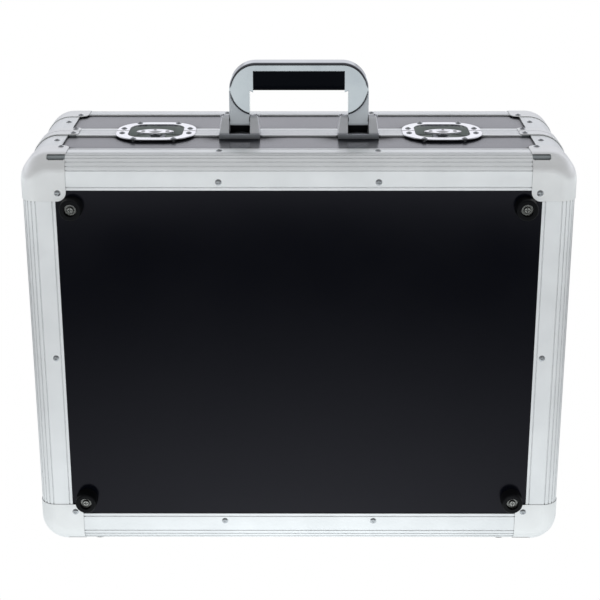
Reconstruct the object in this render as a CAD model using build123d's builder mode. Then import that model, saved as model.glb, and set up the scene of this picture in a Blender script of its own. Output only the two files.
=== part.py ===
from build123d import *

import os
from collections import namedtuple
from math import cos, radians, sin, sqrt

os.makedirs("parts", exist_ok=True)

# A flight case for a small mixer, standing upright on its hinge side.
# Frame: +X to the right, +Y away from the viewer (base face to lid face), +Z up.
# The origin is at the bottom centre of the box round the whole object. Sizes are in millimetres.

# Overall sizes, outside of the edge profiles
case_width = 526.0
case_height = 406.6
base_depth = 98.0
lid_depth = 108.5
parting_gap = 0.5
fit_gap = 0.1  # between pieces that are pushed together

# Plywood and foam
panel_thick = 7.0
foam_thick = 8.0
floor_foam_thick = 10.0

# Edge profiles: a double angle with a ridged round edge
sheet = 1.2
edge_round = 16.0
face_flange = 33.0
side_flange = 30.6
inner_leg_end = 24.0
groove_count = 6
groove_radius = 0.55
lip_groove_inset = 3.0

# Corner mouldings and corner caps
corner_round = 26.0
moulding_flange = 8.7
cap_thick = 0.8
cap_reach = 43.5
cap_depth = 41.0
cap_corner_radius = 9.0
notch_width = 7.4
notch_angle = 32.0
tooth_radius = 0.8
tooth_pitch = 2.1
tooth_count = 7
slot_angles = (20.5, 43.0)
slot_widths = (0.9, 1.7)
slot_end_gap = 1.2

# Closing profiles on the parting edge
rim_width = 14.0
rim_proud = 0.3
rim_leg = 1.5
rim_inner_leg = 1.2
tongue_thick = 2.5
tongue_length = 2.5
tongue_offset = 4.4
tongue_clearance = 0.7
groove_floor = 1.2
rim_corner_thick = 1.0
rim_corner_reach = 44.6

# Rivets
rivet_head_radius = 3.15
rivet_head_height = 1.0
rivet_shank_radius = 1.6
rivet_shank_length = 6.5
rivet_dimple_radius = 1.2
frame_rivet_x = 75.5
face_rivet_inset = 25.0
flange_rivet_depth = 22.0
cap_rivet_inset = 35.5
moulding_rivet_inset = 27.3
moulding_rivet_depth = 64.0
rim_rivet_inset = 39.5
rim_rivet_depth = 8.5

# Rubber feet on the base face, stand feet under the case
foot_height = 12.0
foot_radius = 11.0
foot_tip_radius = 10.2
foot_inset_x = 48.0
foot_inset_z = 49.6
foot_recess_radius = 6.0
foot_recess_depth = 5.0
washer_thick = 1.2
screw_shank_radius = 1.75
screw_head_radius = 3.2
screw_head_height = 1.9
stand_foot_height = 5.0
stand_foot_radius = 8.0
stand_foot_x = 207.0
stand_foot_depth = 27.0
peg_radius = 2.2
peg_length = 5.0

# Carrying handle
bracket_x = 58.3
bracket_width = 40.0
bracket_near = 24.0
bracket_far = 2.0
bracket_floor = 1.0
lip_height = 4.5
lip_thick = 3.0
ear_radius = 7.0
ear_taper = 2.4
pivot_depth = 10.2
pivot_height = 13.0
pivot_radius = 2.0
pivot_clearance = 0.05
arm_width = 20.0
arm_gap = 0.3
barrel_radius = 3.6
arm_top_half = 7.5
arm_top = 44.0
cheek_radius = 26.1
cheek_x = 41.9
handle_top = 73.0
bar_thick = 8.0
grip_height = 20.0
grip_half_length = 44.5
shell_half_depth = 10.0
grip_half_depth = 9.4

# Butterfly latches
latch_x = 142.0
plate_width = 79.0
plate_length = 76.0
plate_round = 31.0
plate_gap = 0.7
plate_thick = 1.2
dish_width = 54.0
dish_length = 56.0
dish_round = 16.0
dish_wall = 1.0
dish_depth = 9.5
dish_clearance = 0.75
latch_rivet_x = (19.6, 33.0)
latch_rivet_y = (33.5, 9.5)
rotor_depth = 11.0
eccentric_radius = 7.0
eccentric_offset = 2.5
eccentric_slack = 0.65
spindle_radius = 2.5
spindle_clearance = 0.05
wing_length = 38.0
wing_width = 19.0
wing_thick = 1.6
wing_gap = 0.6
wing_hole_radius = 2.1
wing_hole_x = 12.0
dome_radius = 7.4
dome_height = 1.3
dome_dimple_radius = 1.5
dome_dimple_depth = 0.9
wing_pin_radius = 1.0
wing_pin_offset = 6.0
hook_thick = 1.5
hook_half_width = 13.5
hook_bar_half_width = 8.0
keeper_near = 8.7
keeper_thick = 2.0
keeper_height = 2.4
hook_play = 0.3

# Hinges under the case
hinge_x = 150.0
hinge_length = 60.0
hinge_leaf_depth = 29.0
hinge_leaf_thick = 1.5
knuckle_radius = 2.5
knuckle_count = 5
knuckle_gap = 0.3
hinge_pin_radius = 1.25
hinge_pin_clearance = 0.05

# Places worked out from the sizes above
back_reach = cap_thick + rivet_head_height
case_depth = base_depth + lid_depth
y_front = (foot_height - case_depth - back_reach) / 2
y_part = y_front + base_depth
y_back = y_front + case_depth
z_low = stand_foot_height
z_high = z_low + case_height
z_mid = (z_low + z_high) / 2
half_width = case_width / 2
half_height = case_height / 2
inner_face = sheet + panel_thick
wall_end = corner_round
frame_half_x = half_width - corner_round - fit_gap
notch_length = cap_reach - corner_round
frame_half_z = half_height - face_flange - 0.3
rim_half_x = half_width - corner_round - moulding_flange - 0.8
rim_half_z = half_height - corner_round - moulding_flange - 0.8
lid_rim_block = parting_gap / 2 + tongue_length + tongue_clearance + groove_floor
base_rim_block = parting_gap / 2 + rim_leg
mid_plane = Plane(origin=(0, 0, z_mid), z_dir=(0, 0, 1))

Half = namedtuple("Half", "name face sign depth rim_block")
base = Half("base", y_front, 1, base_depth, base_rim_block)
lid = Half("lid", y_back, -1, lid_depth, lid_rim_block)

inward = {
    "top": Vector(0, 0, -1),
    "bottom": Vector(0, 0, 1),
    "left": Vector(1, 0, 0),
    "right": Vector(-1, 0, 0),
}
skin = {
    "top": Vector(0, 0, z_high),
    "bottom": Vector(0, 0, z_low),
    "left": Vector(-half_width, 0, z_mid),
    "right": Vector(half_width, 0, z_mid),
}


def from_face(half, depth):
    return half.face + half.sign * depth


def from_parting(half, depth):
    return y_part - half.sign * depth


def side_plane(half, side, at_face):
    """The cross-section plane of a profile: x inward from the side, y into the half from its face or its parting edge."""
    y = half.face if at_face else y_part
    y_dir = Vector(0, half.sign if at_face else -half.sign, 0)
    return Plane(
        origin=skin[side] + Vector(0, y, 0),
        x_dir=inward[side],
        z_dir=inward[side].cross(y_dir),
    )


def spot(point, outward):
    """A place for a fastener, whose own +Z points out of the case."""
    return Plane(origin=point, z_dir=outward)


def side_spot(side, along, y, lift=0.0):
    """A fastener place on one of the four sides, along the side from its middle."""
    out = -inward[side]
    shift = (
        Vector(along, 0, 0) if side in ("top", "bottom") else Vector(0, 0, along)
    )
    return spot(skin[side] + Vector(0, y, 0) + shift + out * lift, out)


def face_spot(half, x, z, lift=0.0):
    """A fastener place on the large face of a half, z from its middle."""
    out = Vector(0, -half.sign, 0)
    return spot(Vector(x, half.face, z_mid + z) + out * lift, out)


def write(piece, node):
    piece.label = node
    export_step(piece, f"parts/{node}.step")


def span(low, high):
    """A private box between two corners."""
    size = [h - l for l, h in zip(low, high)]
    centre = [(l + h) / 2 for l, h in zip(low, high)]
    return Pos(*centre) * Box(*size, mode=Mode.PRIVATE)


# Rivet with a domed head and the dimple of a blind rivet, its head seated on z = 0
with BuildPart() as rivet:
    with BuildSketch(Plane.XZ):
        with BuildLine():
            Line((0, rivet_head_height - 0.4), (rivet_dimple_radius, rivet_head_height - 0.4))
            Line(
                (rivet_dimple_radius, rivet_head_height - 0.4),
                (rivet_dimple_radius, rivet_head_height),
            )
            ThreePointArc(
                (rivet_dimple_radius, rivet_head_height),
                (rivet_head_radius * 0.75, rivet_head_height * 0.7),
                (rivet_head_radius, 0),
            )
            Line((rivet_head_radius, 0), (rivet_shank_radius, 0))
            Line((rivet_shank_radius, 0), (rivet_shank_radius, -rivet_shank_length))
            Line((rivet_shank_radius, -rivet_shank_length), (0, -rivet_shank_length))
            Line((0, -rivet_shank_length), (0, rivet_head_height - 0.4))
        make_face()
    revolve(axis=Axis.Z)

# Pan head screw with a cross recess, its head seated on z = 0
screw_length = 15.0
cross_width = 0.9
cross_depth = 1.1
with BuildPart() as panel_screw:
    Cylinder(
        screw_shank_radius,
        screw_length,
        align=(Align.CENTER, Align.CENTER, Align.MAX),
    )
    Cylinder(
        screw_head_radius,
        screw_head_height,
        align=(Align.CENTER, Align.CENTER, Align.MIN),
    )
    fillet(faces().sort_by(Axis.Z)[-1].edges(), screw_head_height * 0.55)
    with BuildSketch(Plane.XY.offset(screw_head_height)):
        Rectangle(screw_head_radius * 1.25, cross_width)
        Rectangle(cross_width, screw_head_radius * 1.25)
    extrude(amount=-cross_depth, mode=Mode.SUBTRACT)

bracket_screw_length = 19.0
with BuildPart() as bracket_screw:
    Cylinder(
        screw_shank_radius,
        bracket_screw_length,
        align=(Align.CENTER, Align.CENTER, Align.MAX),
    )
    Cylinder(
        screw_head_radius,
        screw_head_height,
        align=(Align.CENTER, Align.CENTER, Align.MIN),
    )
    fillet(faces().sort_by(Axis.Z)[-1].edges(), screw_head_height * 0.55)
    with BuildSketch(Plane.XY.offset(screw_head_height)):
        Rectangle(screw_head_radius * 1.25, cross_width)
        Rectangle(cross_width, screw_head_radius * 1.25)
    extrude(amount=-cross_depth, mode=Mode.SUBTRACT)


# Places of all fasteners
plate_top = rim_proud + plate_thick
leaf_lift = rim_proud + hinge_leaf_thick
hinge_rivets = ((-22.0, 19.0), (0.0, 24.0), (22.0, 19.0))


def rivet_spots(half):
    spots = []
    flange_y = from_face(half, flange_rivet_depth)
    cap_y = from_face(half, cap_rivet_inset)
    moulding_y = from_face(half, moulding_rivet_depth)
    rim_y = from_parting(half, rim_rivet_depth)
    for side in ("top", "bottom"):
        sz = 1 if side == "top" else -1
        for sx in (-1, 1):
            spots += [
                face_spot(half, sx * frame_rivet_x, sz * (half_height - face_rivet_inset)),
                side_spot(side, sx * frame_rivet_x, flange_y),
                side_spot(side, sx * (half_width - cap_rivet_inset), cap_y, cap_thick),
                side_spot(side, sx * (half_width - moulding_rivet_inset), moulding_y),
                side_spot(
                    side,
                    sx * (half_width - rim_rivet_inset),
                    rim_y,
                    rim_proud + rim_corner_thick,
                ),
                face_spot(
                    half,
                    sx * (half_width - cap_rivet_inset),
                    sz * (half_height - cap_rivet_inset),
                    cap_thick,
                ),
            ]
    for side in ("left", "right"):
        sx = 1 if side == "right" else -1
        spots += [
            face_spot(half, sx * (half_width - face_rivet_inset), 0),
            side_spot(side, 0, flange_y),
        ]
        for sz in (-1, 1):
            spots += [
                side_spot(side, sz * (half_height - cap_rivet_inset), cap_y, cap_thick),
                side_spot(side, sz * (half_height - moulding_rivet_inset), moulding_y),
                side_spot(
                    side,
                    sz * (half_height - rim_rivet_inset),
                    rim_y,
                    rim_proud + rim_corner_thick,
                ),
            ]
    for sx in (-1, 1):
        for dx, dy in zip(latch_rivet_x, latch_rivet_y):
            for way in (-1, 1):
                spots.append(
                    side_spot("top", sx * latch_x + way * dx, from_parting(half, dy), plate_top)
                )
        for dx, dy in hinge_rivets:
            spots.append(
                side_spot("bottom", sx * hinge_x + dx, from_parting(half, dy), leaf_lift)
            )
    return spots


foot_places = [
    (sx * (half_width - foot_inset_x), sz * (half_height - foot_inset_z))
    for sx in (-1, 1)
    for sz in (-1, 1)
]
stand_spots = {
    half.name: [
        side_spot("bottom", sx * stand_foot_x, from_face(half, stand_foot_depth))
        for sx in (-1, 1)
    ]
    for half in (base, lid)
}
foot_seat_height = foot_height - foot_recess_depth + washer_thick
foot_screw_spots = [face_spot(base, x, z, foot_seat_height) for x, z in foot_places]
bracket_screw_x = 16.2
bracket_screw_seat = pivot_height + ear_radius - screw_head_height
bracket_screw_depth = pivot_depth - 1.2
bracket_screw_spots = [
    side_spot(
        "top",
        sx * bracket_x + way * bracket_screw_x,
        from_parting(base, bracket_screw_depth),
        bracket_screw_seat,
    )
    for sx in (-1, 1)
    for way in (-1, 1)
]


def shank(place, radius, length):
    """A private cylinder from a fastener's seat into the case."""
    return place.location * Pos(0, 0, -length / 2) * Cylinder(radius, length, mode=Mode.PRIVATE)


def shanks(half):
    """All the fastener shanks of one half, which the pieces they pass through are drilled with."""
    cutters = [
        shank(place, rivet_shank_radius, rivet_shank_length)
        for place in rivet_spots(half)
    ]
    cutters += [shank(place, peg_radius, peg_length) for place in stand_spots[half.name]]
    if half is base:
        cutters += [
            shank(place, screw_shank_radius, screw_length) for place in foot_screw_spots
        ]
        cutters += [
            shank(place, screw_shank_radius, bracket_screw_length)
            for place in bracket_screw_spots
        ]
    return cutters


half_shanks = {half.name: shanks(half) for half in (base, lid)}


def drill(half, piece):
    """Cuts the fastener holes of a half through the piece being built."""
    box = piece.part.bounding_box()
    near = []
    for cutter in half_shanks[half.name]:
        other = cutter.bounding_box()
        apart = any(
            low > high or low2 > high2
            for low, high, low2, high2 in zip(box.min, other.max, other.min, box.max)
        )
        if not apart:
            near.append(cutter)
    return near


# Cross-section of the edge profile: x inward from the side, y inward from the face
arc_mid = 1 - 1 / sqrt(2)
with BuildSketch() as frame_section:
    with BuildLine():
        Line((0, side_flange), (0, edge_round))
        ThreePointArc(
            (0, edge_round), (edge_round * arc_mid, edge_round * arc_mid), (edge_round, 0)
        )
        Line((edge_round, 0), (face_flange, 0))
        Line((face_flange, 0), (face_flange, sheet))
        Line((face_flange, sheet), (edge_round, sheet))
        ThreePointArc(
            (edge_round, sheet),
            (
                edge_round - (edge_round - sheet) / sqrt(2),
                edge_round - (edge_round - sheet) / sqrt(2),
            ),
            (sheet, edge_round),
        )
        Line((sheet, edge_round), (sheet, side_flange))
        Line((sheet, side_flange), (0, side_flange))
    make_face()
    stop = edge_round - sheet - fit_gap
    leg_low = inner_face + fit_gap
    leg_high = leg_low + sheet
    for x0, y0, x1, y1 in (
        (leg_low, leg_low, leg_high, inner_leg_end),
        (leg_low, leg_low, inner_leg_end, leg_high),
        (sheet * 0.9, stop - sheet, leg_high, stop),
        (stop - sheet, sheet * 0.9, stop, leg_high),
    ):
        with Locations((x0, y0)):
            Rectangle(x1 - x0, y1 - y0, align=(Align.MIN, Align.MIN))
    ridge_angles = [
        radians(90 * (n + 0.5) / groove_count) for n in range(groove_count)
    ]
    with Locations(
        *[
            (edge_round - edge_round * cos(t), edge_round - edge_round * sin(t))
            for t in ridge_angles
        ],
        (face_flange - lip_groove_inset, 0),
        (0, side_flange - lip_groove_inset),
    ):
        Circle(groove_radius, mode=Mode.SUBTRACT)

# Cross-section of the base's closing profile: x inward from the side, y into the half
tongue_low = tongue_offset - tongue_thick / 2
with BuildSketch() as base_rim_section:
    for x0, y0, x1, y1 in (
        (-rim_proud, parting_gap / 2, sheet - fit_gap, rim_width),
        (-rim_proud, parting_gap / 2, leg_low + rim_inner_leg, base_rim_block),
        (leg_low, parting_gap / 2, leg_low + rim_inner_leg, rim_width),
        (tongue_low, -tongue_length, tongue_low + tongue_thick, base_rim_block),
    ):
        with Locations((x0, y0)):
            Rectangle(x1 - x0, y1 - y0, align=(Align.MIN, Align.MIN))
    with Locations((-rim_proud, rim_width * 0.4)):
        Circle(0.4, mode=Mode.SUBTRACT)

# The lid's closing profile has the groove that the tongue enters
with BuildSketch() as lid_rim_section:
    for x0, y0, x1, y1 in (
        (-rim_proud, parting_gap / 2, sheet - fit_gap, rim_width),
        (-rim_proud, parting_gap / 2, leg_low + rim_inner_leg, lid_rim_block),
        (leg_low, parting_gap / 2, leg_low + rim_inner_leg, rim_width),
    ):
        with Locations((x0, y0)):
            Rectangle(x1 - x0, y1 - y0, align=(Align.MIN, Align.MIN))
    with Locations((tongue_low - tongue_clearance, 0)):
        Rectangle(
            tongue_thick + 2 * tongue_clearance,
            lid_rim_block - groove_floor,
            align=(Align.MIN, Align.MIN),
            mode=Mode.SUBTRACT,
        )
    with Locations((-rim_proud, rim_width * 0.4)):
        Circle(0.4, mode=Mode.SUBTRACT)
rim_sections = {"base": base_rim_section, "lid": lid_rim_section}

# Cut-outs in the top for the latch dishes, and in the bottom edge for the hinge knuckles
with BuildPart() as dish_cut:
    with BuildSketch(Plane.XY.offset(z_high - 2 * panel_thick)):
        with Locations((-latch_x, y_part), (latch_x, y_part)):
            RectangleRounded(
                dish_width + 2 * (dish_wall + dish_clearance),
                dish_length + 2 * (dish_wall + dish_clearance),
                dish_round + dish_wall + dish_clearance,
            )
    extrude(amount=3 * panel_thick)

with BuildPart() as rim_latch_cut:
    with Locations((-latch_x, y_part, z_high), (latch_x, y_part, z_high)):
        Box(dish_width + 2 * (dish_wall + dish_clearance), 4 * rim_width, 4 * panel_thick)

knuckle_room = knuckle_radius + 0.6
with BuildPart() as knuckle_cut:
    with Locations((-hinge_x, y_part, z_low), (hinge_x, y_part, z_low)):
        Box(hinge_length + 2.0, 2 * knuckle_room, 2 * (knuckle_radius - 0.6))


# Panels: the base face and the lid face
def panel(half):
    with BuildPart() as plate:
        add(
            span(
                (
                    -half_width + edge_round,
                    min(from_face(half, sheet), from_face(half, inner_face)),
                    z_low + edge_round,
                ),
                (
                    half_width - edge_round,
                    max(from_face(half, sheet), from_face(half, inner_face)),
                    z_high - edge_round,
                ),
            )
        )
        add(drill(half, plate), mode=Mode.SUBTRACT)
    write(plate.part, f"{half.name}_panel")


# Walls between the edge profile and the closing profile
def wall(half, side):
    along = half_width if side in ("top", "bottom") else half_height
    run = 2 * (along - wall_end - fit_gap)
    with BuildPart() as board:
        with BuildSketch(side_plane(half, side, True)):
            with Locations((sheet, edge_round)):
                Rectangle(
                    panel_thick,
                    half.depth - edge_round - half.rim_block - fit_gap,
                    align=(Align.MIN, Align.MIN),
                )
        extrude(amount=run / 2, both=True)
        if side == "top":
            add(dish_cut.part, mode=Mode.SUBTRACT)
        if side == "bottom":
            add(knuckle_cut.part, mode=Mode.SUBTRACT)
        add(drill(half, board), mode=Mode.SUBTRACT)
    write(board.part, f"{half.name}_wall_{side}")


def round_plane(half, side, angle):
    """A plane on the round edge along the top or bottom, its angle counted from straight up or down."""
    up = 1 if side == "top" else -1
    turn = radians(angle)
    out = Vector(0, -half.sign * sin(turn), up * cos(turn))
    y = from_face(half, edge_round - edge_round * sin(turn))
    z = z_mid + up * (half_height - edge_round + edge_round * cos(turn))
    return Plane(origin=(0, y, z), x_dir=(1, 0, 0), z_dir=out)


# Ridged edge profiles round each face, slotted at both ends where the caps are notched
def frame(half, side):
    run = 2 * (frame_half_x if side in ("top", "bottom") else frame_half_z)
    with BuildPart() as profile:
        with BuildSketch(side_plane(half, side, True)):
            add(frame_section.sketch)
        extrude(amount=run / 2, both=True)
        if side in ("top", "bottom"):
            slot_length = notch_length - 2 * slot_end_gap
            for angle, width in zip(slot_angles, slot_widths):
                with BuildSketch(round_plane(half, side, angle)):
                    for sx in (-1, 1):
                        with Locations((sx * (half_width - cap_reach + notch_length / 2), 0)):
                            Rectangle(slot_length, width)
                extrude(amount=2 * sheet, both=True, mode=Mode.SUBTRACT)
        add(drill(half, profile), mode=Mode.SUBTRACT)
    write(profile.part, f"{half.name}_frame_{side}")


# Closing profiles, four lengths of each
def rims(half):
    with BuildPart() as rails:
        for side in inward:
            run = 2 * (rim_half_x if side in ("top", "bottom") else rim_half_z)
            with BuildSketch(side_plane(half, side, False)):
                add(rim_sections[half.name].sketch)
            extrude(amount=run / 2, both=True)
        add(rim_latch_cut.part, mode=Mode.SUBTRACT)
        add(knuckle_cut.part, mode=Mode.SUBTRACT)
        add(drill(half, rails), mode=Mode.SUBTRACT)
    write(rails.part, f"{half.name}_closing_profiles")


# Round corner mouldings along the depth: an outer and an inner skin that hold the wall ends
def rounded_ring(outer_grow, inner_grow):
    """A private ring in XZ, grown outward from the outline of the edge profiles."""
    with BuildSketch(Plane.XZ, mode=Mode.PRIVATE) as ring:
        with Locations((0, z_mid)):
            RectangleRounded(
                case_width + 2 * outer_grow,
                case_height + 2 * outer_grow,
                corner_round + outer_grow,
            )
            RectangleRounded(
                case_width + 2 * inner_grow,
                case_height + 2 * inner_grow,
                corner_round + inner_grow,
                mode=Mode.SUBTRACT,
            )
    return ring.sketch


def corner_zone(reach_x, reach_z, y_low, y_high):
    """A private group of four boxes at the corners seen from the front."""
    with BuildPart(mode=Mode.PRIVATE) as zone:
        with Locations(
            *[
                (sx * half_width, (y_low + y_high) / 2, z_mid + sz * half_height)
                for sx in (-1, 1)
                for sz in (-1, 1)
            ]
        ):
            Box(2 * reach_x, y_high - y_low, 2 * reach_z)
    return zone.part


def mouldings(half):
    ends = sorted((from_face(half, side_flange + 0.4), from_parting(half, 0.4)))
    reach = corner_round + moulding_flange
    with BuildPart() as corners:
        for outer, inner in ((0, -sheet), (-leg_low, -leg_high)):
            with BuildSketch(Plane.XZ.offset(-ends[0])):
                add(rounded_ring(outer, inner))
            extrude(amount=-(ends[1] - ends[0]))
        add(corner_zone(reach, reach, ends[0] - 1, ends[1] + 1), mode=Mode.INTERSECT)
        for sx in (-1, 1):
            for sz in (-1, 1):
                web = corner_round - fit_gap
                for low_x, high_x, low_z, high_z in (
                    (web - sheet, web, sheet / 2, leg_low + sheet / 2),
                    (sheet / 2, leg_low + sheet / 2, web - sheet, web),
                ):
                    xs = sorted((sx * (half_width - low_x), sx * (half_width - high_x)))
                    zs = sorted((sz * (half_height - low_z), sz * (half_height - high_z)))
                    add(span((xs[0], ends[0], z_mid + zs[0]), (xs[1], ends[1], z_mid + zs[1])))
        if half is base:
            add(drill(base, corners), mode=Mode.SUBTRACT)
        else:
            add(drill(lid, corners), mode=Mode.SUBTRACT)
    write(corners.part, f"{half.name}_corner_mouldings")


# Corner pieces over the ends of the closing profiles
def rim_corners(half):
    ends = sorted((from_parting(half, 0.4), from_parting(half, rim_width - 0.5)))
    with BuildPart() as pieces:
        with BuildSketch(Plane.XZ.offset(-ends[0])):
            add(rounded_ring(rim_proud + rim_corner_thick, rim_proud))
        extrude(amount=-(ends[1] - ends[0]))
        add(
            corner_zone(rim_corner_reach, rim_corner_reach, ends[0] - 1, ends[1] + 1),
            mode=Mode.INTERSECT,
        )
        tab_edges = edges().filter_by(
            lambda e: e.length < 1.5 * rim_corner_thick and e.geom_type == GeomType.LINE
        )
        fillet(tab_edges, 3.0)
        add(drill(half, pieces), mode=Mode.SUBTRACT)
    write(pieces.part, f"{half.name}_closing_corners")


# Corner caps: a sheet shell over the corner of the edge profiles, notched on one edge
def case_blank(grow):
    with BuildPart(mode=Mode.PRIVATE) as blank:
        with Locations((0, (y_front + y_back) / 2, z_mid)):
            Box(case_width + 2 * grow, case_depth + 2 * grow, case_height + 2 * grow)
        fillet(edges().filter_by(Axis.Y), corner_round + grow)
        ends = faces().sort_by(Axis.Y)
        fillet(ends[0].edges() + ends[-1].edges(), edge_round + grow)
    return blank.part


cap_shell = case_blank(cap_thick) - case_blank(0)


def caps(half):
    ys = sorted((from_face(half, -2 * cap_thick), from_face(half, cap_depth)))
    low = Vector(half_width - cap_reach, ys[0], z_high - cap_reach)
    high = Vector(half_width + 5, ys[1], z_high + 5)
    inner_y = from_face(half, cap_depth)
    with BuildPart() as corners:
        add(span(tuple(low), tuple(high)))
        inner_corner = Vector(low.X, inner_y, low.Z)
        meeting = edges().filter_by(
            lambda e: min((v.center() - inner_corner).length for v in e.vertices()) < 0.01
        )
        fillet(meeting, cap_corner_radius)
        add(cap_shell, mode=Mode.INTERSECT)
        notch_middle = half_width - cap_reach + notch_length / 2
        with BuildSketch(round_plane(half, "top", notch_angle)):
            with Locations((notch_middle - 1, 0)):
                RectangleRounded(notch_length + 2, notch_width, 1.4)
            with Locations((notch_middle, -half.sign * notch_width / 2)):
                with GridLocations(tooth_pitch, 1, tooth_count, 1):
                    Circle(tooth_radius)
        extrude(amount=3, both=True, mode=Mode.SUBTRACT)
        mirror(about=Plane.YZ)
        mirror(about=mid_plane)
        add(drill(half, corners), mode=Mode.SUBTRACT)
    write(corners.part, f"{half.name}_corner_caps")


def rivets(half):
    with BuildPart() as group:
        with Locations(*rivet_spots(half)):
            add(rivet.part)
    write(group.part, f"{half.name}_rivets")


# Foam: a floor pad on the panel and four strips on the walls
def foam(half):
    inset = inner_leg_end + 0.5
    ys = sorted((from_face(half, inner_face), from_face(half, inner_face + floor_foam_thick)))
    with BuildPart() as pad:
        add(
            span(
                (-half_width + inset, ys[0], z_low + inset),
                (half_width - inset, ys[1], z_high - inset),
            )
        )
    write(pad.part, f"{half.name}_floor_foam")
    with BuildPart() as strips:
        for side in inward:
            along = half_width if side in ("top", "bottom") else half_height
            run = 2 * (along - corner_round - moulding_flange - 0.8)
            with BuildSketch(side_plane(half, side, True)):
                with Locations((inner_face, inset)):
                    Rectangle(
                        foam_thick,
                        half.depth - inset - rim_width - 0.5,
                        align=(Align.MIN, Align.MIN),
                    )
            extrude(amount=run / 2, both=True)
        add(dish_cut.part, mode=Mode.SUBTRACT)
        add(drill(half, strips), mode=Mode.SUBTRACT)
    write(strips.part, f"{half.name}_wall_foam")


for half in (base, lid):
    panel(half)
    for side in inward:
        wall(half, side)
        frame(half, side)
    rims(half)
    mouldings(half)
    rim_corners(half)
    caps(half)
    rivets(half)
    foam(half)
    with BuildPart() as stand_feet:
        with Locations(*stand_spots[half.name]):
            Cylinder(
                stand_foot_radius,
                stand_foot_height,
                align=(Align.CENTER, Align.CENTER, Align.MIN),
            )
            Cylinder(peg_radius, peg_length, align=(Align.CENTER, Align.CENTER, Align.MAX))
        fillet(faces().group_by(Axis.Z)[0].edges(), 1.0)
    write(stand_feet.part, f"{half.name}_stand_feet")

# Rubber foot with a recess for its washer and screw, then the washer
with BuildPart() as rubber_foot:
    with BuildSketch(Plane.XY):
        Circle(foot_radius)
    with BuildSketch(Plane.XY.offset(foot_height + sheet)):
        Circle(foot_tip_radius)
    loft()
    fillet(faces().sort_by(Axis.Z)[-1].edges(), 1.6)
    with Locations((0, 0, foot_height + sheet)):
        Cylinder(
            foot_recess_radius,
            foot_recess_depth,
            align=(Align.CENTER, Align.CENTER, Align.MAX),
            mode=Mode.SUBTRACT,
        )
    Cylinder(screw_shank_radius, 4 * foot_height, mode=Mode.SUBTRACT)

with BuildPart() as base_feet:
    with Locations(*[face_spot(base, x, z, -sheet) for x, z in foot_places]):
        add(rubber_foot.part)
write(base_feet.part, "base_feet")

washer_seat = foot_seat_height - washer_thick
with BuildPart() as foot_washers:
    with Locations(*[face_spot(base, x, z, washer_seat) for x, z in foot_places]):
        Cylinder(
            foot_recess_radius - 0.3,
            washer_thick,
            align=(Align.CENTER, Align.CENTER, Align.MIN),
        )
        Cylinder(screw_shank_radius, 4 * washer_thick, mode=Mode.SUBTRACT)
write(foot_washers.part, "foot_washers")

with BuildPart() as foot_screws:
    with Locations(*foot_screw_spots):
        add(panel_screw.part)
write(foot_screws.part, "foot_screws")

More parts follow.
